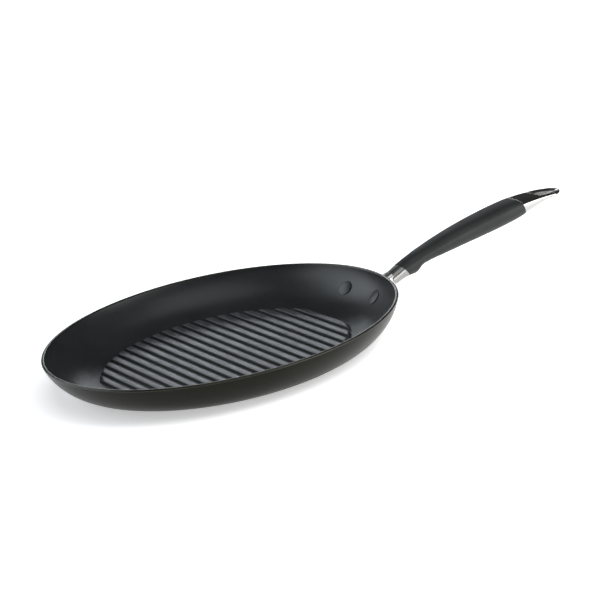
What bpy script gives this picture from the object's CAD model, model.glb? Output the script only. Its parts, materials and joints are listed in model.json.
"""Round ribbed grill pan with a long riveted handle: the finished surfaces.

Shapes are worked out in millimetres, in the frame of the solids: +X runs along the handle,
+Y along the ribs and +Z up, and the origin is the middle of the base. Each sub-assembly is
a class that holds its sizes, builds its meshes from numpy grids and dresses them.
"""
from __future__ import annotations

import json
import logging
import math
from dataclasses import dataclass, field
from enum import Enum

import bmesh
import bpy
import numpy as np
from mathutils import Matrix, Vector

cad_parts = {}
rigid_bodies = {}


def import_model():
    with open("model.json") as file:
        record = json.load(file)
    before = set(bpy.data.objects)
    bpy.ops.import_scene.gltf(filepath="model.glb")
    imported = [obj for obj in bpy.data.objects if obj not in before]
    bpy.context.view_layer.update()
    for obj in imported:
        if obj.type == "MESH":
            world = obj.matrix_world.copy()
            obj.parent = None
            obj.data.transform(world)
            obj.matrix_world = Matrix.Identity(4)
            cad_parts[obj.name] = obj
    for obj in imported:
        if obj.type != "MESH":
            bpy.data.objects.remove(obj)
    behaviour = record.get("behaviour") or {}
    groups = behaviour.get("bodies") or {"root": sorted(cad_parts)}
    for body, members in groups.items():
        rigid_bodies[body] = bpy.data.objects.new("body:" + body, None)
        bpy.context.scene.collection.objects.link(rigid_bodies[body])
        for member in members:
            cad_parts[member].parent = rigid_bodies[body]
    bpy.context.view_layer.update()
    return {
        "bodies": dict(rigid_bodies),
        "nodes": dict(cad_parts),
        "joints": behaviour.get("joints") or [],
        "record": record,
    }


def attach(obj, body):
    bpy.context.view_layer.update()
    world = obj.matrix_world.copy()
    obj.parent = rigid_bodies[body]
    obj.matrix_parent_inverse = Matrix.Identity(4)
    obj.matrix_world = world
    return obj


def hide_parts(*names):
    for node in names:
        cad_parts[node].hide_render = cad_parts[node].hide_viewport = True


Array = np.ndarray
Socket = bpy.types.NodeSocket
Colour = tuple[float, float, float]
Place = tuple[float, float, float]
Range = tuple[float, float, float, float]
LOG = logging.getLogger("grill_pan")
MILLIMETRE = 0.001
BODY = "root"
ROUNDS = 12
HALVINGS = 30
WHITE = (1.0, 1.0, 1.0)
COOL = (0.93, 0.99, 1.05)


# Meshes


def quads(rows: int, columns: int, wrap_rows: bool, wrap_columns: bool) -> Array:
    """Corner numbers of the faces of a grid.

    Args:
        rows: number of rows of points.
        columns: number of points in a row.
        wrap_rows: the last row joins the first.
        wrap_columns: the last column joins the first.

    Returns:
        An array of four corner numbers a face.
    """
    row = np.arange(rows if wrap_rows else rows - 1)
    column = np.arange(columns if wrap_columns else columns - 1)
    i, j = np.meshgrid(row, column, indexing="ij")
    below, right = (i + 1) % rows, (j + 1) % columns
    corners = [i * columns + j, below * columns + j, below * columns + right, i * columns + right]
    return np.stack(corners, axis=-1).reshape(-1, 4)


@dataclass
class Surface:
    """Grids of points, in millimetres, gathered into one closed mesh."""

    weld: float = 0.004
    points: list[Array] = field(default_factory=list)
    faces: list[Array] = field(default_factory=list)
    slots: list[Array] = field(default_factory=list)
    total: int = 0

    def grid(
        self,
        points: Array,
        wrap_rows: bool = False,
        wrap_columns: bool = False,
        slot: int | Array = 0,
    ) -> None:
        """Adds a grid of points.

        Args:
            points: rows by columns by three.
            wrap_rows: the last row joins the first.
            wrap_columns: the last column joins the first.
            slot: the finish's number, one for all faces or one a face row.
        """
        rows, columns = points.shape[:2]
        corners = quads(rows, columns, wrap_rows, wrap_columns)
        numbers = np.asarray(slot)
        if numbers.ndim:
            across = columns if wrap_columns else columns - 1
            numbers = np.repeat(numbers, across)
        self.points.append(points.reshape(-1, 3))
        self.faces.append(corners + self.total)
        self.slots.append(np.broadcast_to(numbers, len(corners)))
        self.total += rows * columns

    def fan(self, ring: Array) -> None:
        """Closes a ring of points with triangles to its middle, in the first finish.

        Args:
            ring: the points around the hole.
        """
        count = len(ring)
        around = np.arange(count)
        middle = np.full(count, count)
        corners = np.stack([around, (around + 1) % count, middle, middle], axis=-1)
        self.points.append(np.vstack([ring, ring.mean(axis=0)]))
        self.faces.append(corners + self.total)
        self.slots.append(np.zeros(count, dtype=int))
        self.total += count + 1

    def tube(self, points: Array) -> None:
        """Adds a tube, whose columns close around it, with a fan over each end.

        Args:
            points: rows by columns by three.
        """
        self.grid(points, wrap_columns=True)
        self.fan(points[0])
        self.fan(points[-1])

    def piece(
        self, name: str, finishes: list[bpy.types.Material], sharp: float
    ) -> bpy.types.Object:
        """Writes the mesh, welds its seams and turns its faces outwards.

        Args:
            name: the piece's name.
            finishes: its materials, in the order of the slot numbers.
            sharp: the angle in degrees past which an edge isn't smoothed.

        Returns:
            The object, which stands at the world's origin.
        """
        mesh = bpy.data.meshes.new(name)
        corners = np.vstack(self.faces)
        single = corners[:, 2] == corners[:, 3]
        shapes = [row[:3] if short else row for row, short in zip(corners.tolist(), single)]
        mesh.from_pydata((np.vstack(self.points) * MILLIMETRE).tolist(), [], shapes)
        mesh.polygons.foreach_set("material_index", np.concatenate(self.slots).astype(np.int32))
        mesh.update()
        work = bmesh.new()
        work.from_mesh(mesh)
        bmesh.ops.remove_doubles(work, verts=work.verts, dist=self.weld * MILLIMETRE)
        bmesh.ops.dissolve_degenerate(work, edges=work.edges, dist=self.weld * MILLIMETRE / 4)
        bmesh.ops.recalc_face_normals(work, faces=work.faces)
        work.to_mesh(mesh)
        work.free()
        mesh.polygons.foreach_set("use_smooth", np.ones(len(mesh.polygons), dtype=bool))
        mesh.set_sharp_from_angle(angle=math.radians(sharp))
        for finish in finishes:
            mesh.materials.append(finish)
        made = bpy.data.objects.new(name, mesh)
        bpy.context.scene.collection.objects.link(made)
        return made


def spun(profile: Array, columns: int) -> Array:
    """Surface of revolution: each profile point, a radius and a height, turned about Z.

    Args:
        profile: radius and height, a row each.
        columns: number of steps around.

    Returns:
        Points in rows along the profile and columns around the axis.
    """
    turn = np.linspace(0, 2 * math.pi, columns, endpoint=False)
    radius, height = profile[:, :1], profile[:, 1:]
    return np.stack([radius * np.cos(turn), radius * np.sin(turn), height + 0 * turn], axis=-1)


def corner_arc(corner: Array, inward: Array, outward: Array, radius: float, steps: int) -> Array:
    """Round corner: the arc of a radius that touches both lines through the corner.

    Args:
        corner: the sharp corner.
        inward: unit direction along which the line reaches the corner.
        outward: unit direction along which it leaves.
        radius: the arc's radius.
        steps: number of points.

    Returns:
        The points of the arc.
    """
    turn = math.atan2(inward[0] * outward[1] - inward[1] * outward[0], float(inward @ outward))
    side = math.copysign(1.0, turn)
    start = corner - inward * radius * math.tan(abs(turn) / 2)
    centre = start + side * radius * np.array([-inward[1], inward[0]])
    sweep = np.linspace(0, turn, steps)
    arm = start - centre
    return centre + np.stack(
        [
            np.cos(sweep) * arm[0] - np.sin(sweep) * arm[1],
            np.sin(sweep) * arm[0] + np.cos(sweep) * arm[1],
        ],
        axis=-1,
    )


def rounded_line(corners: Array, radii: list[float], steps: int) -> Array:
    """Open line through corners, each inner corner rounded by an arc.

    Args:
        corners: the line's points.
        radii: one radius for each inner corner.
        steps: points on each arc.

    Returns:
        The rounded line's points.
    """
    legs = np.diff(corners, axis=0)
    legs = legs / np.linalg.norm(legs, axis=1, keepdims=True)
    parts = [corners[:1]]
    for number, radius in enumerate(radii):
        parts.append(
            corner_arc(corners[number + 1], legs[number], legs[number + 1], radius, steps)
        )
    parts.append(corners[-1:])
    return np.vstack(parts)


def crowded(count: int) -> Array:
    """Shares from 0 to 1 that crowd towards both ends, as half a cosine does."""
    return (1 - np.cos(math.pi * np.linspace(0, 1, count))) / 2


def quarter_curve(part: Array, fill: Array) -> tuple[Array, Array]:
    """Cubic curve over a quarter of a section, square to the axes at both ends.

    Args:
        part: 0 at the side and 1 at the top.
        fill: how far the curve reaches into the corner.

    Returns:
        Distance across and above the middle, as shares of the half width and the height.
    """
    rest = 1 - part
    across = rest**3 + 3 * rest**2 * part + 3 * rest * part**2 * fill
    above = 3 * rest**2 * part * fill + 3 * rest * part**2 + part**3
    return across, above


# Finishes


class Coordinates(Enum):
    """How a pattern lies on a piece, in the frame of the solids."""

    PLAIN = "plain"
    AROUND = "around"


class Recipe:
    """A material's nodes, with short ways to add and join them."""

    def __init__(self, name: str) -> None:
        """Makes the material with one Principled shader.

        Args:
            name: the material's name.
        """
        self.material = bpy.data.materials.new(name)
        self.material.use_nodes = True
        self.tree = self.material.node_tree
        self.tree.nodes.clear()
        self.shader = self.add("ShaderNodeBsdfPrincipled")
        output = self.add("ShaderNodeOutputMaterial")
        self.join(self.shader.outputs["BSDF"], output.inputs["Surface"])

    def add(self, kind: str, **settings: object) -> bpy.types.Node:
        """Adds a node and sets its properties.

        Args:
            kind: the node's type.
            settings: property names and values.

        Returns:
            The node.
        """
        node = self.tree.nodes.new(kind)
        for name, value in settings.items():
            setattr(node, name, value)
        return node

    def join(self, source: Socket, target: Socket) -> None:
        """Joins two sockets."""
        self.tree.links.new(source, target)

    def set(self, **values: object) -> None:
        """Sets plain values on the shader's own sockets, by their names with underscores."""
        for name, value in values.items():
            self.shader.inputs[name.replace("_", " ")].default_value = value

    def place(
        self, coordinates: Coordinates = Coordinates.PLAIN, scale: Place = (1, 1, 1)
    ) -> Socket:
        """Where a point is, stretched for a pattern.

        The plain place is the point itself. The place around the axis is the angle about Z,
        the distance from it, and the height, so that a pattern follows turning marks.

        Args:
            coordinates: plain or around the axis.
            scale: factors for the three parts.

        Returns:
            A vector socket.
        """
        where = self.add("ShaderNodeTexCoord").outputs["Object"]
        if coordinates is Coordinates.AROUND:
            parts = self.add("ShaderNodeSeparateXYZ")
            self.join(where, parts.inputs[0])
            angle = self.math("ARCTAN2", parts.outputs["Y"], parts.outputs["X"])
            joined = self.add("ShaderNodeCombineXYZ")
            self.join(angle, joined.inputs[0])
            self.join(self.reach(where), joined.inputs[1])
            self.join(parts.outputs["Z"], joined.inputs[2])
            where = joined.outputs[0]
        mapping = self.add("ShaderNodeMapping")
        mapping.inputs["Scale"].default_value = scale
        self.join(where, mapping.inputs["Vector"])
        return mapping.outputs["Vector"]

    def reach(self, where: Socket) -> Socket:
        """Distance of a place from the Z axis.

        Args:
            where: the place.

        Returns:
            The distance's socket.
        """
        flat = self.add("ShaderNodeVectorMath", operation="MULTIPLY")
        self.join(where, flat.inputs[0])
        flat.inputs[1].default_value = (1, 1, 0)
        length = self.add("ShaderNodeVectorMath", operation="LENGTH")
        self.join(flat.outputs["Vector"], length.inputs[0])
        return length.outputs["Value"]

    def math(self, operation: str, first: Socket | float, second: Socket | float) -> Socket:
        """One sum of two sockets or numbers.

        Args:
            operation: the Math node's operation.
            first: the first term.
            second: the second term.

        Returns:
            The result's socket.
        """
        node = self.add("ShaderNodeMath", operation=operation)
        for number, term in enumerate((first, second)):
            if isinstance(term, (int, float)):
                node.inputs[number].default_value = term
            else:
                self.join(term, node.inputs[number])
        return node.outputs[0]

    def mean(self, first: Socket, second: Socket, share: float) -> Socket:
        """Mean of two values, where the first has the weight of the share."""
        parts = self.math("MULTIPLY", first, share), self.math("MULTIPLY", second, 1 - share)
        return self.math("ADD", *parts)

    def noise(
        self, where: Socket, scale: float, detail: float = 2.0, rough: float = 0.5
    ) -> Socket:
        """Noise of one value, as a socket.

        Args:
            where: the place to read it at.
            scale: waves a metre.
            detail: number of finer layers.
            rough: weight of the finer layers.

        Returns:
            The value's socket, from 0 to 1.
        """
        node = self.add("ShaderNodeTexNoise")
        node.inputs["Scale"].default_value = scale
        node.inputs["Detail"].default_value = detail
        node.inputs["Roughness"].default_value = rough
        self.join(where, node.inputs["Vector"])
        return node.outputs["Fac"]

    def span(
        self, value: Socket, low: float, high: float, to_low: float = 0.0, to_high: float = 1.0
    ) -> Socket:
        """Value moved from one range to another, and held inside it.

        Args:
            value: the value.
            low: start of the range that it comes from.
            high: end of that range.
            to_low: what the start becomes.
            to_high: what the end becomes.

        Returns:
            The moved value's socket.
        """
        node = self.add("ShaderNodeMapRange")
        self.join(value, node.inputs["Value"])
        for name, number in zip(
            ("From Min", "From Max", "To Min", "To Max"), (low, high, to_low, to_high)
        ):
            node.inputs[name].default_value = number
        return node.outputs["Result"]

    def blend(self, share: Socket, first: Socket | Colour, second: Socket | Colour) -> Socket:
        """Colour between two colours.

        Args:
            share: 0 for the first colour, 1 for the second.
            first: a colour or a socket.
            second: a colour or a socket.

        Returns:
            The colour's socket.
        """
        node = self.add("ShaderNodeMix", data_type="RGBA")
        self.join(share, node.inputs["Factor"])
        for name, colour in (("A", first), ("B", second)):
            target = next(s for s in node.inputs if s.name == name and s.type == "RGBA")
            if isinstance(colour, tuple):
                target.default_value = (*colour, 1.0)
            else:
                self.join(colour, target)
        return next(s for s in node.outputs if s.type == "RGBA")

    def bump(self, height: Socket, depth: float, strength: float) -> Socket:
        """Bump of a real depth.

        Args:
            height: the relief, from 0 to 1.
            depth: the depth of the whole range, in millimetres.
            strength: weight of the relief.

        Returns:
            The normal's socket.
        """
        node = self.add("ShaderNodeBump")
        node.inputs["Strength"].default_value = strength
        node.inputs["Distance"].default_value = depth * MILLIMETRE
        self.join(height, node.inputs["Height"])
        return node.outputs["Normal"]

    def finish(
        self,
        colour: Socket | None = None,
        rough: Socket | None = None,
        normal: Socket | None = None,
    ) -> bpy.types.Material:
        """Joins what varies to the shader and gives the material.

        Args:
            colour: the base colour.
            rough: the roughness.
            normal: the normal.

        Returns:
            The material.
        """
        for name, socket in (("Base Color", colour), ("Roughness", rough), ("Normal", normal)):
            if socket is not None:
                self.join(socket, self.shader.inputs[name])
        return self.material


@dataclass(frozen=True)
class NonstickCoating:
    """Satin dark grey coating, sprayed on: fine grain, faint mottling and burnished rib crests.

    In every finish, a range of four numbers moves a value from the first two to the last two.
    """

    name: str = "nonstick_coating"
    dark: Colour = (0.0058, 0.0066, 0.0074)
    light: Colour = (0.0092, 0.0104, 0.0116)
    fleck: Colour = (0.060, 0.066, 0.073)
    rough_low: float = 0.34
    rough_high: float = 0.41
    crest_height: float = 4.7
    crest_top: float = 5.0
    rib_field: float = 99.0
    mottle_scale: float = 28.0
    grain_scale: float = 1500.0
    fleck_scale: float = 2400.0
    streak_stretch: Place = (1.0, 0.04, 1.0)
    grain_depth: float = 0.05
    grain_weight: float = 0.5
    tone_range: Range = (0.3, 0.7, 0.0, 1.0)
    wear_range: Range = (0.38, 0.66, 0.12, 0.62)
    fleck_range: Range = (0.70, 0.78, 0.0, 0.5)
    rough_noise: tuple[float, float] = (0.25, 0.75)
    wear_polish: float = 0.12
    specular: float = 0.5

    def build(self) -> bpy.types.Material:
        """Makes the coating.

        Returns:
            The material.
        """
        recipe = Recipe(self.name)
        where = recipe.place()
        mottle = recipe.noise(where, self.mottle_scale, detail=4.0, rough=0.6)
        grain = recipe.noise(where, self.grain_scale, detail=3.0, rough=0.6)
        flecks = recipe.noise(where, self.fleck_scale, detail=1.0)
        streaks = recipe.noise(recipe.place(scale=self.streak_stretch), self.grain_scale)
        parts = recipe.add("ShaderNodeSeparateXYZ")
        recipe.join(where, parts.inputs[0])
        low, high = self.crest_height * MILLIMETRE, self.crest_top * MILLIMETRE
        crest = recipe.span(parts.outputs["Z"], low, high)
        inside = recipe.math("LESS_THAN", recipe.reach(where), self.rib_field * MILLIMETRE)
        crest = recipe.math("MULTIPLY", crest, inside)
        base = recipe.blend(recipe.span(mottle, *self.tone_range), self.dark, self.light)
        worn = recipe.math("MULTIPLY", crest, recipe.span(streaks, *self.wear_range))
        base = recipe.blend(worn, base, self.fleck)
        base = recipe.blend(recipe.span(flecks, *self.fleck_range), base, self.fleck)
        rough = recipe.span(mottle, *self.rough_noise, self.rough_low, self.rough_high)
        rough = recipe.math("SUBTRACT", rough, recipe.math("MULTIPLY", worn, self.wear_polish))
        normal = recipe.bump(grain, self.grain_depth, self.grain_weight)
        recipe.set(Specular_IOR_Level=self.specular)
        return recipe.finish(base, rough, normal)


@dataclass(frozen=True)
class HardAnodised:
    """Hard-anodised aluminium, turned on a lathe: grey-brown, satin, with fine marks around."""

    name: str = "hard_anodised_aluminium"
    dark: Colour = (0.0050, 0.0050, 0.0034)
    light: Colour = (0.0086, 0.0086, 0.0062)
    rough_low: float = 0.27
    rough_high: float = 0.35
    specular: float = 0.10
    tint: tuple[float, float, float, float] = (1.0, 1.0, 0.88, 1.0)
    mark_scale: float = 1700.0
    mark_stretch: Place = (0.004, 1.0, 1.0)
    mark_depth: float = 0.02
    mark_weight: float = 0.6
    mark_share: float = 0.45
    cloud_scale: float = 18.0
    tone_range: Range = (0.36, 0.64, 0.0, 1.0)
    rough_noise: tuple[float, float] = (0.35, 0.65)

    def build(self) -> bpy.types.Material:
        """Makes the anodised finish.

        Returns:
            The material.
        """
        recipe = Recipe(self.name)
        around = recipe.place(Coordinates.AROUND, self.mark_stretch)
        marks = recipe.noise(around, self.mark_scale, detail=3.0, rough=0.65)
        clouds = recipe.noise(recipe.place(), self.cloud_scale, detail=4.0, rough=0.6)
        mixed = recipe.mean(marks, clouds, self.mark_share)
        base = recipe.blend(recipe.span(mixed, *self.tone_range), self.dark, self.light)
        rough = recipe.span(mixed, *self.rough_noise, self.rough_low, self.rough_high)
        normal = recipe.bump(marks, self.mark_depth, self.mark_weight)
        recipe.set(Specular_IOR_Level=self.specular, Specular_Tint=self.tint)
        return recipe.finish(base, rough, normal)


@dataclass(frozen=True)
class Steel:
    """Stainless steel with hairlines along a direction, from mirror bright to satin."""

    name: str
    colour: Colour = (0.74, 0.735, 0.72)
    shade: Colour = (0.62, 0.615, 0.60)
    rough_low: float = 0.08
    rough_high: float = 0.14
    hairline: Place = (0.03, 1.0, 1.0)
    hairline_scale: float = 2600.0
    hairline_depth: float = 0.004
    hairline_weight: float = 0.5
    hairline_share: float = 0.5
    smear_scale: float = 90.0
    tone_range: Range = (0.3, 0.7, 0.0, 0.6)
    rough_noise: tuple[float, float] = (0.35, 0.65)

    def build(self) -> bpy.types.Material:
        """Makes the steel.

        Returns:
            The material.
        """
        recipe = Recipe(self.name)
        along = recipe.place(scale=self.hairline)
        lines = recipe.noise(along, self.hairline_scale, detail=3.0, rough=0.7)
        smears = recipe.noise(recipe.place(), self.smear_scale, detail=3.0, rough=0.55)
        base = recipe.blend(recipe.span(smears, *self.tone_range), self.colour, self.shade)
        mixed = recipe.mean(lines, smears, self.hairline_share)
        rough = recipe.span(mixed, *self.rough_noise, self.rough_low, self.rough_high)
        normal = recipe.bump(lines, self.hairline_depth, self.hairline_weight)
        recipe.set(Metallic=1.0)
        return recipe.finish(base, rough, normal)


@dataclass(frozen=True)
class SoftGrip:
    """Matte silicone: near black, fine skin texture, and a little dust in the hollows."""

    name: str = "grip_silicone"
    dark: Colour = (0.0085, 0.0092, 0.0092)
    light: Colour = (0.0135, 0.0144, 0.0144)
    rough_low: float = 0.46
    rough_high: float = 0.56
    specular: float = 0.36
    skin_scale: float = 3200.0
    skin_depth: float = 0.03
    skin_weight: float = 0.55
    handling_scale: float = 45.0
    tone_range: Range = (0.3, 0.7, 0.0, 1.0)
    rough_noise: tuple[float, float] = (0.3, 0.7)

    def build(self) -> bpy.types.Material:
        """Makes the silicone.

        Returns:
            The material.
        """
        recipe = Recipe(self.name)
        where = recipe.place()
        skin = recipe.noise(where, self.skin_scale)
        handling = recipe.noise(where, self.handling_scale, detail=4.0, rough=0.6)
        base = recipe.blend(recipe.span(handling, *self.tone_range), self.dark, self.light)
        rough = recipe.span(handling, *self.rough_noise, self.rough_high, self.rough_low)
        normal = recipe.bump(skin, self.skin_depth, self.skin_weight)
        recipe.set(Specular_IOR_Level=self.specular)
        return recipe.finish(base, rough, normal)


@dataclass(frozen=True)
class MouldedPlastic:
    """Black nylon with a fine moulded grain."""

    name: str = "core_nylon"
    dark: Colour = (0.020, 0.020, 0.020)
    light: Colour = (0.034, 0.034, 0.034)
    roughness: float = 0.55
    grain_scale: float = 1800.0
    grain_depth: float = 0.04
    grain_weight: float = 0.6

    def build(self) -> bpy.types.Material:
        """Makes the nylon.

        Returns:
            The material.
        """
        recipe = Recipe(self.name)
        grain = recipe.noise(recipe.place(), self.grain_scale)
        base = recipe.blend(grain, self.dark, self.light)
        recipe.set(Roughness=self.roughness)
        normal = recipe.bump(grain, self.grain_depth, self.grain_weight)
        return recipe.finish(base, normal=normal)


# The pan


@dataclass(frozen=True)
class PanForm:
    """Sizes of the pressed disc, the same as those of its solid."""

    rim_radius: float = 140.0
    base_radius: float = 100.0
    height: float = 29.0
    wall: float = 3.0
    rim_round: float = 1.1
    rim_trim_share: float = 1.3
    rivet_drop: float = 15.0
    rivet_spacing: float = 44.0

    @property
    def outer_arc(self) -> float:
        """Radius of the outer wall's arc, tangent to the base and ending at the rim."""
        run = self.rim_radius - self.base_radius
        return (run**2 + self.height**2) / (2 * self.height)

    @property
    def inner_arc(self) -> float:
        """Radius of the inner wall's arc."""
        return self.outer_arc - self.wall

    @property
    def rivet_height(self) -> float:
        """Height of the rivets' centres on the inner wall."""
        return self.height - self.rivet_drop

    @property
    def rivet_angle(self) -> float:
        """Where the rivets sit on the inner wall's arc."""
        return math.asin((self.outer_arc - self.rivet_height) / self.inner_arc)

    def wall_line(self, arc: float, angle: Array) -> Array:
        """Points of a wall arc: the radius plus the arc's cosine, and its sine below its centre.

        Args:
            arc: radius of the arc.
            angle: angles below the horizontal through its centre.

        Returns:
            Radius and height of each point.
        """
        reach, height = arc * np.cos(angle), arc * np.sin(angle)
        return np.stack([self.base_radius + reach, self.outer_arc - height], axis=-1)

    def rim_angle(self, arc: float) -> float:
        """Angle at which a wall arc reaches the rim's height."""
        return math.asin((self.outer_arc - self.height) / arc)

    def rivet_places(self) -> list[Matrix]:
        """Frames on the inner wall at the rivets, with Z pointing into the pan.

        Returns:
            One frame for each rivet.
        """
        reach, height = self.wall_line(self.inner_arc, np.array(self.rivet_angle))
        places = []
        for side in (-1, 1):
            turn = side * math.asin(self.rivet_spacing / 2 / reach)
            out = Vector((math.cos(turn), math.sin(turn), 0))
            into = -math.cos(self.rivet_angle) * out
            into.z = math.sin(self.rivet_angle)
            along = Vector((-out.y, out.x, 0))
            across = into.cross(along)
            place = Matrix((along, across, into)).transposed().to_4x4()
            place.translation = (reach * out.x, reach * out.y, height)
            places.append(place)
        return places


@dataclass
class PanBody:
    """The pressed disc: base with turned rings, wall, rim and the ribbed floor."""

    form: PanForm
    coating: bpy.types.Material
    outside: bpy.types.Material
    lip: bpy.types.Material
    columns: int = 288
    wall_rows: int = 44
    lip_rows: int = 8
    floor_shares: tuple[float, ...] = (0.66, 0.33, 0.0)
    ring_count: int = 9
    ring_rows: int = 9
    ring_first_radius: float = 22.0
    ring_pitch: float = 9.0
    ring_depth: float = 0.5
    ring_half_width: float = 0.9
    rib_count: int = 20
    rib_pitch: float = 9.42
    rib_foot: float = 6.3
    rib_crest: float = 5.05
    rib_height: float = 2.5
    rib_top_round: float = 0.75
    rib_foot_round: float = 0.35
    rib_flare: float = 0.5
    rib_sink: float = 0.6
    rib_end_round: float = 0.8
    rib_end_nip: float = 0.1
    rib_end_run: float = 2.6
    rib_middle_share: float = 0.9
    rib_rows: int = 9
    rib_field_radius: float = 99.0
    corner_rows: int = 7

    def base_line(self) -> Array:
        """Underside from the middle outwards: flat, with a cosine dip at each turned ring.

        Returns:
            Radius and height of each point.
        """
        parts = [np.array([[0.0, 0.0], [self.ring_first_radius / 2, 0.0]])]
        offsets = np.linspace(-1, 1, self.ring_rows)
        for number in range(self.ring_count):
            radius = self.ring_first_radius + number * self.ring_pitch
            height = self.ring_depth * (1 + np.cos(math.pi * offsets)) / 2
            parts.append(np.stack([radius + offsets * self.ring_half_width, height], axis=-1))
        return np.vstack(parts)

    def profile(self) -> tuple[Array, Array]:
        """Closed half section: under the base, up the outside, over the rim and down inside.

        Returns:
            The profile's points, and the finish's number of each step between them.
        """
        form = self.form
        walls, rims = [], []
        for arc in (form.outer_arc, form.inner_arc):
            end = form.rim_angle(arc)
            trimmed = end + form.rim_round * form.rim_trim_share / arc
            angles = np.linspace(math.pi / 2, trimmed, self.wall_rows)
            walls.append(form.wall_line(arc, angles))
            rims.append(form.wall_line(arc, np.array(end)))
        outer, inner = walls[0], walls[1][::-1]
        outer_rim, inner_rim = rims
        up, down = outer_rim - outer[-1], inner[0] - inner_rim
        up, down = up / np.linalg.norm(up), down / np.linalg.norm(down)
        flat = np.array([-1.0, 0.0])
        lip = np.vstack(
            [
                corner_arc(outer_rim, up, flat, form.rim_round, self.lip_rows),
                corner_arc(inner_rim, flat, down, form.rim_round, self.lip_rows),
            ]
        )
        floor = np.array([[form.base_radius * share, form.wall] for share in self.floor_shares])
        outside = np.vstack([self.base_line(), outer])
        numbers = [1] * len(outside) + [2] * (len(lip) - 1) + [0] * (len(inner) + len(floor))
        return np.vstack([outside, lip, inner, floor]), np.array(numbers)

    def rib_section(self) -> Array:
        """Across a rib: flared feet, drafted flanks and a flat crest, every corner rounded.

        Returns:
            Place across the rib and height of each point.
        """
        foot, crest, flare = self.rib_foot / 2, self.rib_crest / 2, self.rib_flare
        line = np.array(
            [
                [-foot - flare, 0.0],
                [-foot, 0.0],
                [-crest, self.rib_height],
                [crest, self.rib_height],
                [foot, 0.0],
                [foot + flare, 0.0],
            ]
        )
        radii = [self.rib_foot_round, self.rib_top_round, self.rib_top_round, self.rib_foot_round]
        upper = rounded_line(line, radii, self.corner_rows)
        sunk = np.array([[foot + flare, -self.rib_sink], [-foot - flare, -self.rib_sink]])
        return np.vstack([upper, sunk])

    def rib(self, place: float) -> Array:
        """One rib: its section runs along Y, and both ends drop on a slope along the circle.

        Args:
            place: X of the rib's middle.

        Returns:
            Rows along the rib, columns around its section.
        """
        section = self.rib_section()
        high = np.maximum(section[:, 1], 0.0) / self.rib_height
        slope = np.array([[0.0, -1.0], [0.0, 0.0], [1.0, 1.0], [self.rib_end_run, 1.0]])
        ramp = rounded_line(slope, [self.rib_end_nip, self.rib_end_round], self.corner_rows)
        across = place + section[:, 0]
        rows = []
        for run, rise in ramp:
            inset = run * high * self.rib_height
            level = np.where(section[:, 1] > 0, section[:, 1] * max(rise, 0.0), section[:, 1])
            if rise < 0:
                level = np.full(len(section), -self.rib_sink)
            reach = np.sqrt(np.maximum((self.rib_field_radius - inset) ** 2 - across**2, 0.0))
            rows.append((across, reach, level))
        ends = [np.stack(row, axis=-1) for row in rows]
        mirrored = [end * np.array([1.0, -1.0, 1.0]) for end in ends]
        shares = np.linspace(-self.rib_middle_share, self.rib_middle_share, self.rib_rows)
        middle = [ends[-1] * np.array([1.0, share, 1.0]) for share in shares]
        return np.stack([*mirrored, *middle, *reversed(ends)])

    def build(self) -> bpy.types.Object:
        """Builds the disc with its ribs and puts it in place of its solid.

        Returns:
            The object.
        """
        profile, numbers = self.profile()
        surface = Surface()
        surface.grid(spun(profile, self.columns), wrap_columns=True, slot=numbers)
        first = -(self.rib_count - 1) / 2 * self.rib_pitch
        lift = np.array([0.0, 0.0, self.form.wall])
        for number in range(self.rib_count):
            rib = self.rib(first + number * self.rib_pitch) + lift
            surface.tube(rib)
        finishes = [self.coating, self.outside, self.lip]
        made = surface.piece("pan_shell", finishes, sharp=50.0)
        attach(made, BODY)
        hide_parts("pan_body")
        return made


@dataclass
class Rivets:
    """Two rivets: low coated domes inside the pan, and upset tails behind the bracket."""

    form: PanForm
    coating: bpy.types.Material
    metal: bpy.types.Material
    shank_radius: float = 3.0
    head_radius: float = 6.2
    head_height: float = 1.5
    head_edge: float = 0.75
    tail_radius: float = 5.4
    tail_height: float = 1.9
    tail_edge: float = 1.9 / 3
    flange: float = 2.6
    seat_cut: float = 0.4
    dome_power: float = 2.2
    dome_rows: int = 14
    columns: int = 64

    def dome(self, radius: float, height: float, edge: float) -> Array:
        """Half section of a low dome: a short edge, then a cap that falls by a power of reach.

        Args:
            radius: the dome's radius.
            height: its height in the middle.
            edge: the height of its edge.

        Returns:
            Radius and height of each point.
        """
        reach = np.sin(np.linspace(math.pi / 2, 0, self.dome_rows))
        rise = edge + (height - edge) * (1 - reach**self.dome_power)
        return np.vstack([[radius, 0.0], np.stack([radius * reach, rise], axis=-1)])

    def profile(self) -> tuple[Array, int]:
        """Half section from the head's crown to the tail's.

        Returns:
            The profile's points, and how many of them belong to the head.
        """
        head = self.dome(self.head_radius, self.head_height, self.head_edge)[::-1]
        seat = -(self.form.wall + self.flange - self.seat_cut)
        tail = self.dome(self.tail_radius, self.tail_height, self.tail_edge)
        tail = tail * np.array([1.0, -1.0]) + np.array([0.0, seat])
        shank = np.array([[self.shank_radius, 0.0], [self.shank_radius, seat]])
        return np.vstack([head, shank, tail]), len(head)

    def build(self) -> bpy.types.Object:
        """Builds both rivets and puts them in place of their solids.

        Returns:
            The object.
        """
        profile, head = self.profile()
        numbers = (np.arange(len(profile) - 1) >= head).astype(int)
        turned = spun(profile, self.columns)
        surface = Surface()
        for place in self.form.rivet_places():
            frame = np.array(place)
            points = turned @ frame[:3, :3].T + frame[:3, 3]
            surface.grid(points, wrap_columns=True, slot=numbers)
        made = surface.piece("wall_rivets", [self.coating, self.metal], sharp=55.0)
        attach(made, BODY)
        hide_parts("rivets")
        return made


# The handle


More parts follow.
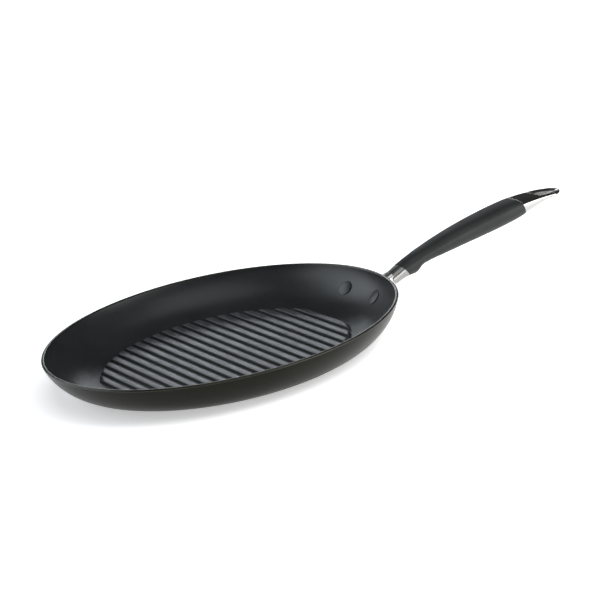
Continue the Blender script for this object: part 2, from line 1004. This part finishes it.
@dataclass(frozen=True)
class HandleForm:
    """Outer form of the handle: stations along X, and a section of four curves at each.

    A station is its place, as a share of the length, its top and bottom above the rivets, as
    shares of the rise, its half width, as a share of the grip's, and its corner fill.
    """

    pan: PanForm
    gap: float = 9.0
    length: float = 175.3
    rise: float = 34.5
    grip_width: float = 27.0
    shoulder_share: float = 0.56
    lower_fill: float = 0.60
    station_shares: tuple[tuple[float, float, float, float, float], ...] = (
        (-0.092, -0.004, -0.316, 0.540, 0.60),
        (-0.046, 0.083, -0.239, 0.550, 0.60),
        (0.000, 0.171, -0.161, 0.560, 0.60),
        (0.046, 0.259, -0.083, 0.580, 0.60),
        (0.092, 0.355, -0.006, 0.605, 0.60),
        (0.132, 0.430, 0.021, 0.640, 0.60),
        (0.163, 0.479, 0.037, 0.675, 0.61),
        (0.193, 0.516, 0.155, 0.705, 0.63),
        (0.234, 0.565, 0.206, 0.750, 0.65),
        (0.316, 0.664, 0.249, 0.830, 0.68),
        (0.428, 0.774, 0.305, 0.910, 0.72),
        (0.545, 0.861, 0.359, 0.970, 0.76),
        (0.662, 0.924, 0.423, 1.000, 0.80),
        (0.754, 0.944, 0.502, 1.000, 0.85),
        (0.825, 0.929, 0.612, 0.990, 0.89),
        (0.881, 0.903, 0.693, 0.970, 0.92),
        (0.929, 0.878, 0.729, 0.939, 0.92),
        (0.960, 0.855, 0.753, 0.856, 0.92),
        (0.982, 0.852, 0.768, 0.650, 0.90),
        (1.000, 0.847, 0.781, 0.280, 0.80),
    )

    @property
    def start(self) -> float:
        """X of the form's front."""
        return self.pan.rim_radius + self.gap

    @property
    def tip(self) -> float:
        """X of the handle's tip."""
        return self.start + self.length

    @property
    def places(self) -> Array:
        """X of the stations."""
        return self.start + np.array(self.station_shares)[:, 0] * self.length

    def at(self, x: Array) -> tuple[Array, Array, Array, Array]:
        """Form at given places: a cubic between stations, with slopes of their neighbours.

        Args:
            x: places along the handle.

        Returns:
            Top, bottom, half width and corner fill.
        """
        table, places = np.array(self.station_shares)[:, 1:], self.places
        scale = np.array([self.rise, self.rise, self.grip_width / 2, 1.0])
        lift = np.array([self.pan.rivet_height, self.pan.rivet_height, 0.0, 0.0])
        values = lift + table * scale
        slopes = np.gradient(values, places, axis=0)
        x = np.clip(x, places[0], places[-1])
        after = np.clip(np.searchsorted(places, x), 1, len(places) - 1)
        width = places[after] - places[after - 1]
        t = ((x - places[after - 1]) / width)[..., None]
        width = width[..., None]
        found = (
            (2 * t**3 - 3 * t**2 + 1) * values[after - 1]
            + (t**3 - 2 * t**2 + t) * width * slopes[after - 1]
            + (3 * t**2 - 2 * t**3) * values[after]
            + (t**3 - t**2) * width * slopes[after]
        )
        return found[..., 0], found[..., 1], found[..., 2], found[..., 3]

    def spine(self, x: float) -> float:
        """Middle height of the form at one place, along straight lines between stations.

        Args:
            x: a place along the handle.

        Returns:
            The height.
        """
        table = np.array(self.station_shares)
        middle = self.pan.rivet_height + (table[:, 1] + table[:, 2]) / 2 * self.rise
        return float(np.interp(x, self.places, middle))

    def section(self, x: Array, turn: Array, inset: Array | float = 0.0) -> Array:
        """Points of the form: a cubic curve in each quarter, square to the axes at its ends.

        Args:
            x: places along the handle.
            turn: quarters of the way around, from +Y over the top; 4 is the whole way.
            inset: how far the section is drawn in.

        Returns:
            The points, with a last axis of three.
        """
        top, bottom, half, fill = self.at(x)
        shoulder = bottom + self.shoulder_share * (top - bottom)
        turn = np.mod(turn, 4.0)
        quarter = np.floor(turn).astype(int)
        part = turn - quarter
        part = np.where(quarter % 2 == 0, part, 1 - part)
        upper = quarter < 2
        full = np.where(upper, fill, self.lower_fill)
        across, above = quarter_curve(part, full)
        side = np.where((quarter == 0) | (quarter == 3), 1.0, -1.0)
        height = np.where(upper, top - inset - shoulder, bottom + inset - shoulder)
        y = side * (half - inset) * across
        z = shoulder + height * above
        return np.stack(np.broadcast_arrays(x, y, z), axis=-1)

    def joint(self, reach: float, tilt: float, turn: Array, offset: float = 0.0) -> Array:
        """X of a slanted joint at each point around the section.

        The joint is a plane through the spine. Its X falls with the height by the tangent
        of the tilt, so place and height are worked out together in a few rounds.

        Args:
            reach: distance of the joint from the form's front.
            tilt: lean of the joint in degrees.
            turn: quarters around the section.
            offset: distance past the joint along X.

        Returns:
            X at each point.
        """
        middle = self.start + reach
        x = np.full_like(turn, middle)
        for _ in range(ROUNDS):
            height = self.section(x, turn)[..., 2]
            x = middle + offset - math.tan(math.radians(tilt)) * (height - self.spine(middle))
        return x


@dataclass(frozen=True)
class Joints:
    """Where the handle's visible pieces meet."""

    neck_reach: float = 4.5
    neck_slope: float = 20.0
    ferrule_reach: float = 17.4
    ferrule_tilt: float = 36.0
    cap_reach: float = 133.4
    cap_tilt: float = 15.0


def edge_steps(radius: float, count: int = 6) -> tuple[Array, Array]:
    """Rounded edge of a tube: distance from its end, and how far it is drawn in there."""
    turn = np.linspace(0, math.pi / 2, count)
    return radius * (1 - np.cos(turn)), radius * (1 - np.sin(turn))


@dataclass
class Ferrule:
    """Polished sleeve between the neck and the grip, with a pressed line on each side."""

    form: HandleForm
    joints: Joints
    steel: bpy.types.Material
    front_round: float = 0.8
    front_rows: int = 7
    rear_cover: float = 0.6
    rear_tuck: float = 0.07
    line_turns: tuple[float, float] = (2.42, 3.58)
    line_width: float = 0.055
    line_depth: float = 0.38
    line_fade: float = 6.0
    line_least: float = 0.25
    columns: int = 128
    rows: int = 34

    def build(self) -> bpy.types.Object:
        """Builds the ferrule and puts it in place of its solid.

        Returns:
            The object.
        """
        turn = np.linspace(0, 4, self.columns, endpoint=False)
        form, joints = self.form, self.joints
        front = form.joint(joints.neck_reach, joints.neck_slope, turn)
        rear = form.joint(joints.ferrule_reach, joints.ferrule_tilt, turn, self.rear_cover)
        along, drawn = edge_steps(self.front_round, self.front_rows)
        groove = np.zeros_like(turn)
        for centre in self.line_turns:
            groove += self.line_depth * np.exp(-(((turn - centre) / self.line_width) ** 2))
        rows = []
        for step, inset in zip(along, drawn):
            rows.append(form.section(front + step, turn, inset + groove * (1 - inset)))
        for share in np.linspace(0, 1, self.rows)[1:]:
            fade = min(1.0, (1 - share) * self.line_fade + self.line_least)
            x = front + along[-1] + share * (rear - front - along[-1])
            rows.append(form.section(x, turn, self.rear_tuck + groove * fade))
        surface = Surface()
        surface.tube(np.stack(rows))
        made = surface.piece("ferrule_sleeve", [self.steel], sharp=60.0)
        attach(made, BODY)
        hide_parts("neck_ferrule")
        return made


@dataclass
class Grip:
    """Silicone sleeve: the form between the two joints, with soft lips at both ends."""

    form: HandleForm
    joints: Joints
    silicone: bpy.types.Material
    wall: float = 2.2
    lip: float = 0.55
    cap_gap: float = 0.12
    columns: int = 112
    rows: int = 150
    inner_rows: int = 37

    def build(self) -> bpy.types.Object:
        """Builds the sleeve, outside and inside, and puts it in place of its solid.

        Returns:
            The object.
        """
        turn = np.linspace(0, 4, self.columns, endpoint=False)
        form, joints = self.form, self.joints
        front = form.joint(joints.ferrule_reach, joints.ferrule_tilt, turn)
        rear = form.joint(joints.cap_reach, joints.cap_tilt, turn, -self.cap_gap)
        along, drawn = edge_steps(self.lip)
        rows = [form.section(front + step, turn, inset) for step, inset in zip(along, drawn)]
        start, end = front + self.lip, rear - self.lip
        for share in np.linspace(0, 1, self.rows)[1:-1]:
            rows.append(form.section(start + share * (end - start), turn))
        for step, inset in zip(along[::-1], drawn[::-1]):
            rows.append(form.section(rear - step, turn, inset))
        for share in np.linspace(1, 0, self.inner_rows):
            rows.append(form.section(front + share * (rear - front), turn, self.wall))
        surface = Surface()
        surface.grid(np.stack(rows), wrap_rows=True, wrap_columns=True)
        made = surface.piece("grip_skin", [self.silicone], sharp=60.0)
        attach(made, BODY)
        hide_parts("grip_sleeve")
        return made


@dataclass
class EndCap:
    """Polished cap: a height field above and below its plan, around the hanging slot."""

    form: HandleForm
    joints: Joints
    steel: bpy.types.Material
    blasted: bpy.types.Material
    plan_lead: float = 24.0
    nose_start_share: float = 0.960
    nose_reach: float = 3.6
    nose_close: float = 5.5
    least_half: float = 2.6
    slot_length: float = 18.5
    slot_front: float = 9.6
    slot_rear: float = 6.0
    slot_margin: float = 3.6
    slot_tilt: float = 8.0
    slot_round: float = 0.9
    slot_drop: float = 5.5
    dish_depth: float = 1.0
    blasted_share: float = 0.86
    body_end: float = 3.4
    edge_round: float = 0.3
    least_gap: float = 1e-6
    plug_inset: float = 2.6
    columns: int = 33
    body_rows: int = 44
    wall_rows: int = 9
    slot_rings: int = 30
    side_points: int = 60
    plan_points: int = 400
    plan_step: int = 4

    @property
    def slot_middle(self) -> float:
        """X of the slot's middle."""
        return self.form.tip - self.slot_margin - self.slot_length / 2

    @property
    def body_stop(self) -> float:
        """X where the plain tube ends and the rings around the slot start."""
        return self.slot_middle - self.slot_length / 2 - self.body_end

    def outline(self) -> Array:
        """Plan of one side from the joint to the tip: the stations, then a cubic nose.

        Returns:
            X and Y of each point.
        """
        form = self.form
        bend = form.start + self.nose_start_share * form.length
        begin = form.start + self.joints.cap_reach - self.plan_lead
        x = np.linspace(begin, bend, self.plan_points)
        half = form.at(x)[2]
        slope = (half[-1] - half[-2]) / (x[-1] - x[-2])
        t = np.linspace(0, 1, self.plan_points)[1:, None]
        first = np.array([bend, half[-1]])
        lead = first + self.nose_reach * np.array([1.0, slope])
        close = np.array([form.tip, self.nose_close])
        last = np.array([form.tip, 0.0])
        nose = (
            (1 - t) ** 3 * first
            + 3 * (1 - t) ** 2 * t * lead
            + 3 * (1 - t) * t**2 * close
            + t**3 * last
        )
        return np.vstack([np.stack([x, half], axis=-1), nose])

    def edge_distance(self, x: Array, y: Array) -> Array:
        """Distance of points from the plan's outline: the least to any of its straight pieces.

        Args:
            x: places along the handle.
            y: places across it.

        Returns:
            The distances.
        """
        line = self.outline()[:: self.plan_step]
        start, leg = line[:-1], np.diff(line, axis=0)
        point = np.stack([x, np.abs(y)], axis=-1).reshape(-1, 1, 2)
        share = np.clip(((point - start) * leg).sum(-1) / (leg**2).sum(-1), 0, 1)
        gap = np.linalg.norm(point - start - share[..., None] * leg, axis=-1).min(axis=1)
        return gap.reshape(np.shape(x))

    def half_at(self, x: Array) -> Array:
        """Half width of the plan at given places."""
        line = self.outline()
        return np.interp(x, line[:, 0], line[:, 1])

    def swell(self, share: Array, fill: Array) -> Array:
        """Height of the section's quarter curve at a distance from the edge.

        Args:
            share: distance from the edge, as a share of the half width.
            fill: how far the curve reaches into the corner.

        Returns:
            The heights, as shares of the whole height. The curve is searched by halving.
        """
        low, high = np.zeros_like(share), np.ones_like(share)
        for _ in range(HALVINGS):
            part = (low + high) / 2
            across, above = quarter_curve(part, fill)
            low = np.where(1 - across < share, part, low)
            high = np.where(1 - across < share, high, part)
        return above

    def height(self, x: Array, y: Array, upper: bool, inset: float = 0.0) -> Array:
        """Height of the cap's top or underside above a point of its plan.

        Args:
            x: places along the handle.
            y: places across it.
            upper: the top, and not the underside.
            inset: how far the surface is drawn in.

        Returns:
            The heights.
        """
        top, bottom, _, fill = self.form.at(x)
        shoulder = bottom + self.form.shoulder_share * (top - bottom)
        half = np.maximum(self.half_at(x), self.least_half)
        share = np.clip((self.edge_distance(x, y) - inset) / (half - inset), 0, 1)
        if not upper:
            fill = np.full_like(share, self.form.lower_fill)
        rise = (top - inset - shoulder) if upper else (bottom + inset - shoulder)
        return shoulder + rise * self.swell(share, fill)

    def slot_edge(self, x: Array, y: Array, shift: float) -> tuple[Array, Array]:
        """Nearest point of the slot's outline: its radius out from a line whose radius tapers.

        Args:
            x: places along the handle.
            y: places across it.
            shift: how far the slot is moved along X.

        Returns:
            X and Y of the nearest points.
        """
        front, rear = self.slot_front / 2, self.slot_rear / 2
        start = self.slot_middle - self.slot_length / 2 + front + shift
        end = self.slot_middle + self.slot_length / 2 - rear + shift
        spine = np.clip(x, start, end)
        radius = front + (rear - front) * (spine - start) / (end - start)
        away = np.stack([x - spine, y], axis=-1)
        away = away / np.maximum(np.linalg.norm(away, axis=-1, keepdims=True), self.least_gap)
        return spine + radius * away[..., 0], radius * away[..., 1]

    def ring(self) -> Array:
        """Plan points around the slot's region: across its front, then out to the tip and back.

        Returns:
            X and Y of each point.
        """
        part = np.linspace(0, 2, self.columns)
        front = self.form.section(np.full_like(part, self.body_stop), part)[:, :2]
        line = self.outline()
        line = line[line[:, 0] > self.body_stop]
        line = np.vstack([[self.body_stop, self.half_at(np.array(self.body_stop))], line])
        run = np.concatenate([[0.0], np.cumsum(np.linalg.norm(np.diff(line, axis=0), axis=1))])
        steps = np.linspace(0, run[-1], self.side_points)
        side = np.stack([np.interp(steps, run, line[:, k]) for k in (0, 1)], axis=-1)
        near = side[1:] * np.array([1.0, -1.0])
        return np.vstack([front, near, side[::-1][1:-1]])

    def around_slot(self, surface: Surface) -> None:
        """Adds the top and the underside around the slot, and the slot's wall.

        Rings run from the outline to the slot, crowded at both. The top is dished towards the
        slot by a smooth step, and its last rings are blasted, as the slot's wall is. Near the
        slot the surface turns down on a quarter circle, and the wall joins both sides.

        Args:
            surface: the mesh that gets the faces.
        """
        ring = self.ring()
        rims = []
        lean = math.tan(math.radians(self.slot_tilt))
        for upper in (True, False):
            shift = 0.0 if upper else -lean * self.slot_drop
            slot_x, slot_y = self.slot_edge(ring[:, 0], ring[:, 1], shift)
            share = crowded(self.slot_rings)[:, None]
            x = ring[:, 0] + share * (slot_x - ring[:, 0])
            y = ring[:, 1] + share * (slot_y - ring[:, 1])
            z = self.height(x, y, upper)
            if upper:
                z = z - self.dish_depth * (share**2 * (3 - 2 * share))
            length = np.hypot(slot_x - ring[:, 0], slot_y - ring[:, 1])
            near = np.clip(self.slot_round - (1 - share) * length, 0, self.slot_round)
            fall = self.slot_round - np.sqrt(self.slot_round**2 - near**2)
            z = z - fall if upper else z + fall
            points = np.stack([x, y, z], axis=-1)
            blasted = (share[1:, 0] > self.blasted_share) & upper
            surface.grid(points, wrap_columns=True, slot=blasted.astype(int))
            rims.append(points[-1])
        share = np.linspace(0, 1, self.wall_rows)[:, None, None]
        wall = rims[0] * (1 - share) + rims[1] * share
        surface.grid(wall, wrap_columns=True, slot=1)

    def body(self, surface: Surface) -> None:
        """Adds the tube from the joint to the slot's region, and its front face.

        Args:
            surface: the mesh that gets the faces.
        """
        part = np.linspace(0, 2, self.columns)
        form, joints = self.form, self.joints
        along, drawn = edge_steps(self.edge_round)
        for upper in (True, False):
            turn = part if upper else 4 - part
            front = form.joint(joints.cap_reach, joints.cap_tilt, turn)
            lines = [form.section(front, turn, self.plug_inset)]
            steps = [(front + a, d) for a, d in zip(along, drawn)]
            rest = front + self.edge_round
            shares = np.linspace(0, 1, self.body_rows)[1:]
            steps += [(rest + share * (self.body_stop - rest), 0.0) for share in shares]
            for x, inset in steps:
                base = form.section(x, turn, inset)
                y = base[:, 1]
                edge = np.abs(y) > form.at(x)[2] - inset - self.least_gap
                z = np.where(edge, base[:, 2], self.height(x, y, upper, inset))
                lines.append(np.stack([x, y, z], axis=-1))
            surface.grid(np.stack(lines))
        turn = np.concatenate([part, 2 + part[1:-1]])
        front = form.joint(joints.cap_reach, joints.cap_tilt, turn)
        surface.fan(form.section(front, turn, self.plug_inset))

    def build(self) -> bpy.types.Object:
        """Builds the cap and puts it in place of its solid.

        Returns:
            The object.
        """
        surface = Surface(weld=0.02)
        self.body(surface)
        self.around_slot(surface)
        made = surface.piece("cap_shell", [self.steel, self.blasted], sharp=70.0)
        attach(made, BODY)
        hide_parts("end_cap")
        return made


@dataclass
class Bracket:
    """Steel bracket: a flange that lies on the wall, and the neck that grows out of it."""

    pan: PanForm
    form: HandleForm
    joints: Joints
    steel: bpy.types.Material
    thickness: float = 2.6
    width: float = 66.0
    depth: float = 21.0
    corner: float = 8.5
    edge_round: float = 0.9
    edge_rows: int = 7
    edge_points: int = 160
    plate_rows: int = 12
    hub_share: float = 0.06
    back_shares: tuple[float, ...] = (1.0, 0.6, 0.06)
    neck_width: float = 13.6
    neck_height: float = 11.0
    neck_drop: float = 2.0
    neck_cover: float = 2.0
    neck_bend: float = 5.0
    neck_power: float = 3.2
    neck_lean: float = 0.30
    neck_columns: int = 72
    neck_rows: int = 48
    root_reach: float = 3.0
    root_start: float = 1.0
    root_flare: float = 3.2
    root_rise_share: float = 0.7
    root_length: float = 3.6

    def outline(self, inset: float) -> Array:
        """Rounded rectangle, drawn in: straight sides and quarter circles.

        Args:
            inset: how far the outline is drawn in.

        Returns:
            Places across and along the plate, from its middle.
        """
        half = np.array([self.width / 2, self.depth / 2]) - inset
        radius = self.corner - inset
        line = []
        for number in range(4):
            turn = np.linspace(0, math.pi / 2, self.edge_points // 4) + number * math.pi / 2
            sign = np.array([(1, 1), (-1, 1), (-1, -1), (1, -1)][number])
            centre = sign * (half - radius)
            line.append(centre + radius * np.stack([np.cos(turn), np.sin(turn)], axis=-1))
        return np.vstack(line)

    def on_wall(self, flat: Array, offset: Array | float) -> Array:
        """Lays flat points on the wall: across as an angle about Z, along as one on the wall's arc.

        Args:
            flat: points of the plate, across and along, from its middle.
            offset: distance outwards from the wall.

        Returns:
            Points in space.
        """
        pan = self.pan
        root = pan.wall_line(pan.outer_arc, np.array(pan.rivet_angle))
        angle = pan.rivet_angle - flat[..., 1] / pan.outer_arc
        arc = pan.outer_arc + offset
        reach = pan.base_radius + arc * np.cos(angle)
        height = pan.outer_arc - arc * np.sin(angle)
        turn = flat[..., 0] / root[0]
        return np.stack([reach * np.cos(turn), reach * np.sin(turn), height], axis=-1)

    def flange(self, surface: Surface) -> None:
        """Adds the plate: rings from the middle out, round its edge and back on the inside.

        Args:
            surface: the mesh that gets the faces.
        """
        along, drawn = edge_steps(self.edge_round, self.edge_rows)
        rows = []
        for share in np.linspace(self.hub_share, 1, self.plate_rows)[:-1]:
            rows.append(self.on_wall(self.outline(self.edge_round) * share, self.thickness))
        for step, inset in zip(along[::-1], drawn[::-1]):
            rows.append(self.on_wall(self.outline(step), self.thickness - inset))
        for share in self.back_shares:
            rows.append(self.on_wall(self.outline(0.0) * share, 0.0))
        surface.tube(np.stack(rows))

    def neck(self, surface: Surface) -> None:
        """Adds the neck: a rounded oblong section along a line that bends up to the ferrule.

        The line is level near the wall and then climbs at the neck's slope, with a smooth
        bend between. Near the wall the section grows by an exponential flare, and no point
        lies nearer to the axis than half the plate's thickness outside the wall.

        Args:
            surface: the mesh that gets the faces.
        """
        pan, joints = self.pan, self.joints
        root = float(pan.wall_line(pan.outer_arc, np.array(pan.rivet_angle))[0])
        climb = math.tan(math.radians(joints.neck_slope))
        front = self.form.start + joints.neck_reach
        level = pan.rivet_height - self.neck_drop
        ends = root - self.root_reach, front + self.neck_cover
        x = np.linspace(*ends, self.neck_rows)[:, None]
        ahead = self.form.spine(front) + (x - front) * climb - level
        spine = level + (ahead + np.sqrt(ahead**2 + self.neck_bend)) / 2
        turn = np.linspace(0, 2 * math.pi, self.neck_columns, endpoint=False)
        away = np.maximum(x - root - self.root_start, 0)
        flare = self.root_flare * np.exp(-away / self.root_length)
        power = 2 / self.neck_power
        across = np.sign(np.cos(turn)) * np.abs(np.cos(turn)) ** power
        above = np.sign(np.sin(turn)) * np.abs(np.sin(turn)) ** power
        y = (self.neck_width / 2 + flare) * across
        rise = (self.neck_height / 2 + flare * self.root_rise_share) * above
        z = spine + rise
        lift = np.clip(pan.outer_arc - z, 0, pan.outer_arc)
        reach = pan.base_radius + np.sqrt((pan.outer_arc + self.thickness / 2) ** 2 - lift**2)
        x = np.maximum(x - self.neck_lean * rise, np.sqrt(reach**2 - y**2))
        surface.tube(np.stack(np.broadcast_arrays(x, y, z), axis=-1))

    def build(self) -> bpy.types.Object:
        """Builds the bracket and puts it in place of its solid.

        Returns:
            The object.
        """
        surface = Surface()
        self.flange(surface)
        self.neck(surface)
        made = surface.piece("bracket_steel", [self.steel], sharp=50.0)
        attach(made, BODY)
        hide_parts("handle_bracket")
        return made


@dataclass
class Fixings:
    """Pieces inside the handle, which keep their solids and get their finishes."""

    nodes: dict[str, bpy.types.Object]
    plated: bpy.types.Material
    nylon: bpy.types.Material

    def build(self) -> list[bpy.types.Object]:
        """Dresses the core, the screw, its washer and the cap's pin.

        Returns:
            The dressed objects.
        """
        finishes = {
            "grip_core": self.nylon,
            "tie_screw": self.plated,
            "lock_washer": self.plated,
            "cap_pin": self.plated,
        }
        for name, finish in finishes.items():
            mesh = self.nodes[name].data
            mesh.materials.clear()
            mesh.materials.append(finish)
        return [self.nodes[name] for name in finishes]


# The studio


@dataclass(frozen=True)
class Lamp:
    """One soft lamp: where it is and aims, in metres, its size, power in watts and tone."""

    name: str
    place: Place
    aim: Place
    size: tuple[float, float]
    power: float
    tone: Colour = WHITE
    mirrored: bool = True

    def build(self) -> None:
        """Makes the lamp, and leaves it out of the reflections if it only fills."""
        data = bpy.data.lights.new(self.name, "AREA")
        data.shape = "RECTANGLE"
        data.size, data.size_y = self.size
        data.energy = self.power
        data.color = self.tone
        made = bpy.data.objects.new(self.name, data)
        made.visible_camera = False
        made.visible_glossy = self.mirrored
        made.location = self.place
        direction = Vector(self.aim) - Vector(self.place)
        made.rotation_euler = direction.to_track_quat("-Z", "Y").to_euler()
        bpy.context.scene.collection.objects.link(made)


@dataclass(frozen=True)
class Studio:
    """White table, soft lamps, and the camera at the photograph's angle."""

    camera_place: Place = (-0.7400, -1.6126, 0.5761)
    camera_yaw: float = 63.274
    camera_pitch: float = 16.98
    camera_roll: float = -10.923
    focal_length: float = 144.88
    sensor: float = 36.0
    far_clip: float = 100.0
    table_size: float = 12.0
    table_colour: Colour = (0.86, 0.86, 0.86)
    table_rough: float = 0.9
    table_specular: float = 0.1
    table_glow: float = 0.46
    far_glow: float = 0.95
    near_reach: float = 1.2
    far_reach: float = 2.6
    world_glow: float = 0.05
    lamps: tuple[Lamp, ...] = (
        Lamp("lamp_fill", (0.6, -0.2, 2.0), (0.2, 0.0, 0.0), (2.6, 2.6), 20.0, WHITE, False),
        Lamp("lamp_low", (0.85, -0.8, 0.9), (0.4, -0.35, 0.0), (1.2, 1.2), 23.0, WHITE, False),
        Lamp("lamp_over", (0.0, -0.6, 2.0), (0.1, 0.0, 0.0), (1.8, 1.8), 10.0),
        Lamp("lamp_back", (1.26, 2.58, 0.89), (0.0, 0.0, 0.02), (0.85, 0.38), 3.7, COOL),
        Lamp("lamp_side", (-1.15, 1.27, 1.03), (0.0, 0.0, 0.02), (2.5, 1.15), 19.0, COOL),
        Lamp("lamp_left", (-1.41, -0.60, 1.29), (0.0, 0.0, 0.02), (1.4, 0.7), 1.0, COOL),
        Lamp("lamp_front", (1.0, -1.7, 0.36), (0.2, 0.0, 0.03), (2.0, 0.66), 18.0),
    )

    def camera(self) -> None:
        """Makes the camera: yaw and pitch give its line of sight, and roll turns it about that."""
        yaw, pitch, roll = (
            math.radians(angle) for angle in (self.camera_yaw, self.camera_pitch, self.camera_roll)
        )
        sight = Vector(
            (math.cos(pitch) * math.cos(yaw), math.cos(pitch) * math.sin(yaw), -math.sin(pitch))
        )
        level = Vector((math.sin(yaw), -math.cos(yaw), 0))
        upright = level.cross(sight)
        right = math.cos(roll) * level + math.sin(roll) * upright
        above = -math.sin(roll) * level + math.cos(roll) * upright
        data = bpy.data.cameras.new("photo_camera")
        data.lens = self.focal_length
        data.sensor_width = self.sensor
        data.sensor_fit = "HORIZONTAL"
        data.clip_end = self.far_clip
        made = bpy.data.objects.new("photo_camera", data)
        pose = Matrix((right, above, -sight)).transposed().to_4x4()
        pose.translation = self.camera_place
        made.matrix_world = pose
        bpy.context.scene.collection.objects.link(made)
        bpy.context.scene.camera = made

    def table(self) -> None:
        """Makes the table: pale, and white to the camera and in what metal mirrors.

        The lamps light its middle, so its own glow grows with the distance from there.
        """
        half = self.table_size / 2
        corners = np.array([[-half, -half, 0], [half, -half, 0], [half, half, 0], [-half, half, 0]])
        mesh = bpy.data.meshes.new("table")
        mesh.from_pydata(corners.tolist(), [], [(0, 1, 2, 3)])
        made = bpy.data.objects.new("table", mesh)
        bpy.context.scene.collection.objects.link(made)
        recipe = Recipe("pale_table")
        ray = recipe.add("ShaderNodeLightPath")
        seen = recipe.math("MAXIMUM", ray.outputs["Is Camera Ray"], ray.outputs["Is Glossy Ray"])
        seen = recipe.math("MAXIMUM", seen, ray.outputs["Is Transmission Ray"])
        reach = recipe.reach(recipe.place())
        glow = recipe.span(reach, self.near_reach, self.far_reach, self.table_glow, self.far_glow)
        recipe.join(recipe.math("MULTIPLY", seen, glow), recipe.shader.inputs["Emission Strength"])
        recipe.set(
            Roughness=self.table_rough,
            Specular_IOR_Level=self.table_specular,
            Base_Color=(*self.table_colour, 1.0),
            Emission_Color=(*WHITE, 1.0),
        )
        mesh.materials.append(recipe.finish())

    def world(self) -> None:
        """Makes the surroundings: a plain and weak grey light."""
        world = bpy.data.worlds.new("studio")
        world.use_nodes = True
        bpy.context.scene.world = world
        nodes, links = world.node_tree.nodes, world.node_tree.links
        nodes.clear()
        output = nodes.new("ShaderNodeOutputWorld")
        light = nodes.new("ShaderNodeBackground")
        light.inputs["Color"].default_value = (*WHITE, 1.0)
        light.inputs["Strength"].default_value = self.world_glow
        links.new(light.outputs[0], output.inputs["Surface"])

    def build(self) -> None:
        """Makes the whole studio."""
        self.camera()
        self.table()
        self.world()
        for lamp in self.lamps:
            lamp.build()
        bpy.context.scene.view_settings.view_transform = "Standard"


def main() -> None:
    """Builds every sub-assembly in order."""
    logging.basicConfig(level=logging.INFO, format="%(name)s: %(message)s")
    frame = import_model()
    pan = PanForm()
    handle = HandleForm(pan)
    joints = Joints()
    coating = NonstickCoating().build()
    anodised = HardAnodised().build()
    turned = HardAnodised("turned_lip", rough_low=0.22, rough_high=0.28, specular=0.45).build()
    mirror = Steel("mirror_steel", colour=(0.48, 0.476, 0.469), shade=(0.40, 0.396, 0.39)).build()
    polished = Steel(
        "polished_steel",
        colour=(0.32, 0.317, 0.312),
        shade=(0.26, 0.257, 0.252),
        rough_low=0.30,
        rough_high=0.38,
        hairline=(0.05, 1.0, 1.0),
    ).build()
    blasted = Steel(
        "blasted_steel",
        colour=(0.25, 0.25, 0.238),
        shade=(0.19, 0.19, 0.18),
        rough_low=0.42,
        rough_high=0.55,
    ).build()
    satin = Steel("satin_steel", rough_low=0.24, rough_high=0.36, hairline_depth=0.01).build()
    zinc = (0.55, 0.55, 0.56)
    plated = Steel("plated_steel", colour=zinc, rough_low=0.25, rough_high=0.4).build()
    assemblies = (
        PanBody(pan, coating, anodised, turned),
        Rivets(pan, coating, satin),
        Bracket(pan, handle, joints, satin),
        Ferrule(handle, joints, polished),
        Grip(handle, joints, SoftGrip().build()),
        EndCap(handle, joints, mirror, blasted),
        Fixings(frame["nodes"], plated, MouldedPlastic().build()),
    )
    for assembly in assemblies:
        made = assembly.build()
        names = [piece.name for piece in made] if isinstance(made, list) else [made.name]
        LOG.info("%s: %s", type(assembly).__name__, ", ".join(names))
    Studio().build()


if __name__ == "__main__":
    main()
